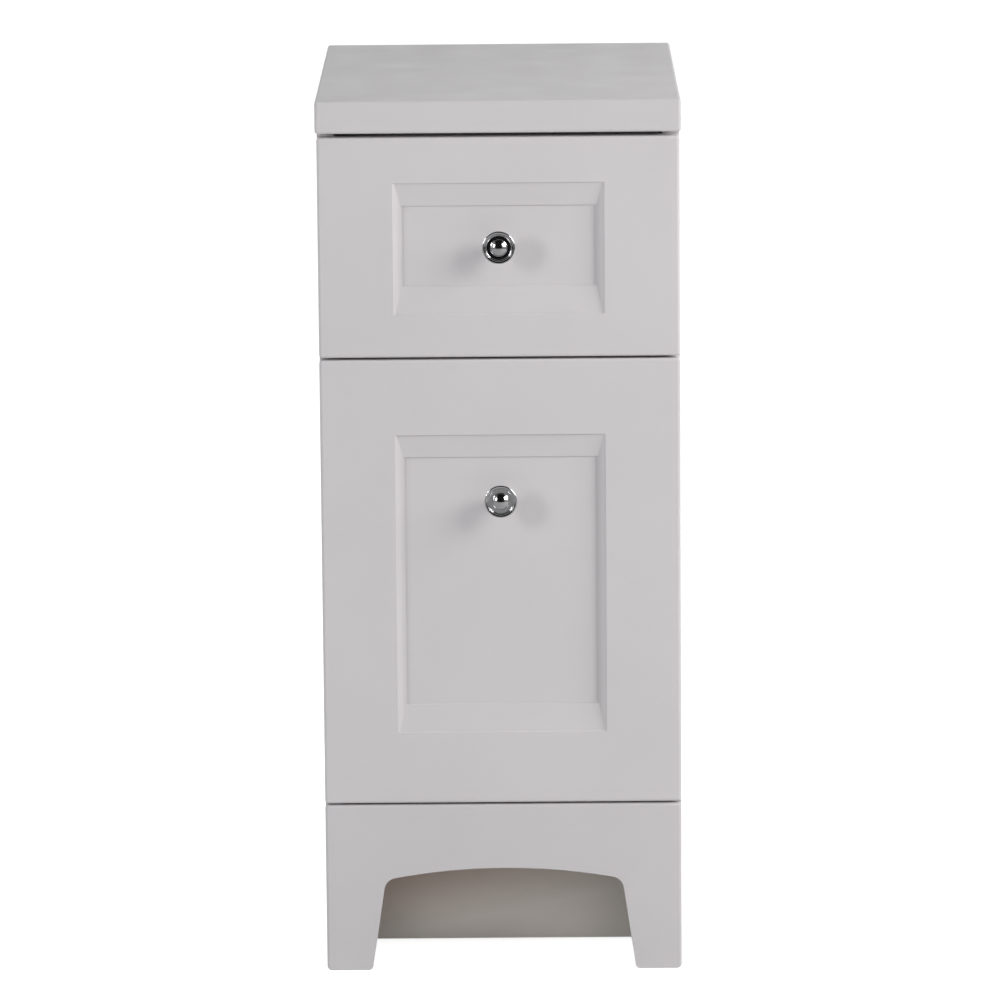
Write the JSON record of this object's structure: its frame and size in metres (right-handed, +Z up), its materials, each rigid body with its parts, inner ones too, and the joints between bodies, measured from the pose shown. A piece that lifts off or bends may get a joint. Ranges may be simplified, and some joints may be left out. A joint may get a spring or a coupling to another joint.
{
  "type": "bathroom vanity cabinet",
  "caption": "Narrow white bathroom vanity cabinet with a shallow and a deep drawer, chrome knobs, an arched skirt and a flat solid top.",
  "frame": {"origin": "on the floor, at the middle of the width and of the whole depth from the knobs' tips to the back", "axes": "+Z up, +X to the right of a person who faces the drawers, +Y towards the wall; the drawers open towards -Y"},
  "size_m": [0.3556, 0.488, 0.87],
  "materials": {
    "countertop_foil": "white thermofoil on fibreboard, smooth, low sheen",
    "front_foil": "white thermofoil on fibreboard, smooth, low sheen",
    "carcass_foil": "white foil on fibreboard, low sheen",
    "white_melamine": "white melamine on particle board",
    "hardboard": "bare brown hardboard, smooth face",
    "birch_board": "clear lacquered birch plywood",
    "drawer_bottom": "clear lacquered plywood",
    "raw_wood": "bare softwood and beech",
    "chrome": "polished chrome plate",
    "slide_steel": "zinc plated steel strip",
    "cage_steel": "steel strip with steel balls",
    "zinc_screws": "zinc plated",
    "brace_plastic": "white moulded plastic",
    "bumper": "soft translucent grey"
  },
  "bodies": {
    "cabinet": {"countertop": "countertop_foil", "side_panel_left": "carcass_foil", "side_panel_right": "carcass_foil", "bottom_panel": "white_melamine", "back_panel": "hardboard", "front_stretcher": "white_melamine", "wall_rail": "white_melamine", "toe_kick": "carcass_foil", "front_skirt": "front_foil", "skirt_blocks": "raw_wood", "corner_braces": "brace_plastic", "top_screws": "zinc_screws", "brace_screws": "zinc_screws", "carcass_dowels": "raw_wood", "slide_outer_screws": "zinc_screws", "upper_slide_outer_left": "slide_steel", "upper_slide_outer_right": "slide_steel", "lower_slide_outer_left": "slide_steel", "lower_slide_outer_right": "slide_steel"},
    "upper_drawer": {"upper_drawer_front": "front_foil", "upper_box_front": "birch_board", "upper_box_back": "birch_board", "upper_box_left": "birch_board", "upper_box_right": "birch_board", "upper_box_bottom": "drawer_bottom", "upper_knob": "chrome", "upper_knob_screw": "zinc_screws", "upper_front_screws": "zinc_screws", "upper_bumpers": "bumper", "upper_slide_inner_left": "slide_steel", "upper_slide_inner_right": "slide_steel", "upper_slide_inner_screws": "zinc_screws"},
    "upper_slide_middles": {"upper_slide_middle_left": "slide_steel", "upper_slide_middle_right": "slide_steel"},
    "upper_outer_cages": {"upper_outer_ball_cages": "cage_steel"},
    "upper_inner_cages": {"upper_inner_ball_cages": "cage_steel"},
    "lower_drawer": {"lower_drawer_front": "front_foil", "lower_box_front": "birch_board", "lower_box_back": "birch_board", "lower_box_left": "birch_board", "lower_box_right": "birch_board", "lower_box_bottom": "drawer_bottom", "lower_knob": "chrome", "lower_knob_screw": "zinc_screws", "lower_front_screws": "zinc_screws", "lower_bumpers": "bumper", "lower_slide_inner_left": "slide_steel", "lower_slide_inner_right": "slide_steel", "lower_slide_inner_screws": "zinc_screws"},
    "lower_slide_middles": {"lower_slide_middle_left": "slide_steel", "lower_slide_middle_right": "slide_steel"},
    "lower_outer_cages": {"lower_outer_ball_cages": "cage_steel"},
    "lower_inner_cages": {"lower_inner_ball_cages": "cage_steel"}
  },
  "joints": [
    {"name": "upper_drawer_slide", "type": "slide", "parent": "cabinet", "child": "upper_drawer", "axis": [0, -1, 0], "range_m": [0, 0.38]},
    {"name": "upper_middle_slide", "type": "slide", "parent": "cabinet", "child": "upper_slide_middles", "axis": [0, -1, 0], "range_m": [0, 0.19]},
    {"name": "upper_outer_cage_slide", "type": "slide", "parent": "cabinet", "child": "upper_outer_cages", "axis": [0, -1, 0], "range_m": [0, 0.095]},
    {"name": "upper_inner_cage_slide", "type": "slide", "parent": "cabinet", "child": "upper_inner_cages", "axis": [0, -1, 0], "range_m": [0, 0.285]},
    {"name": "lower_drawer_slide", "type": "slide", "parent": "cabinet", "child": "lower_drawer", "axis": [0, -1, 0], "range_m": [0, 0.38]},
    {"name": "lower_middle_slide", "type": "slide", "parent": "cabinet", "child": "lower_slide_middles", "axis": [0, -1, 0], "range_m": [0, 0.19]},
    {"name": "lower_outer_cage_slide", "type": "slide", "parent": "cabinet", "child": "lower_outer_cages", "axis": [0, -1, 0], "range_m": [0, 0.095]},
    {"name": "lower_inner_cage_slide", "type": "slide", "parent": "cabinet", "child": "lower_inner_cages", "axis": [0, -1, 0], "range_m": [0, 0.285]}
  ],
  "couplings": [
    {"joint": "upper_middle_slide", "follows": "upper_drawer_slide", "ratio": 0.5},
    {"joint": "upper_outer_cage_slide", "follows": "upper_drawer_slide", "ratio": 0.25},
    {"joint": "upper_inner_cage_slide", "follows": "upper_drawer_slide", "ratio": 0.75},
    {"joint": "lower_middle_slide", "follows": "lower_drawer_slide", "ratio": 0.5},
    {"joint": "lower_outer_cage_slide", "follows": "lower_drawer_slide", "ratio": 0.25},
    {"joint": "lower_inner_cage_slide", "follows": "lower_drawer_slide", "ratio": 0.75}
  ]
}
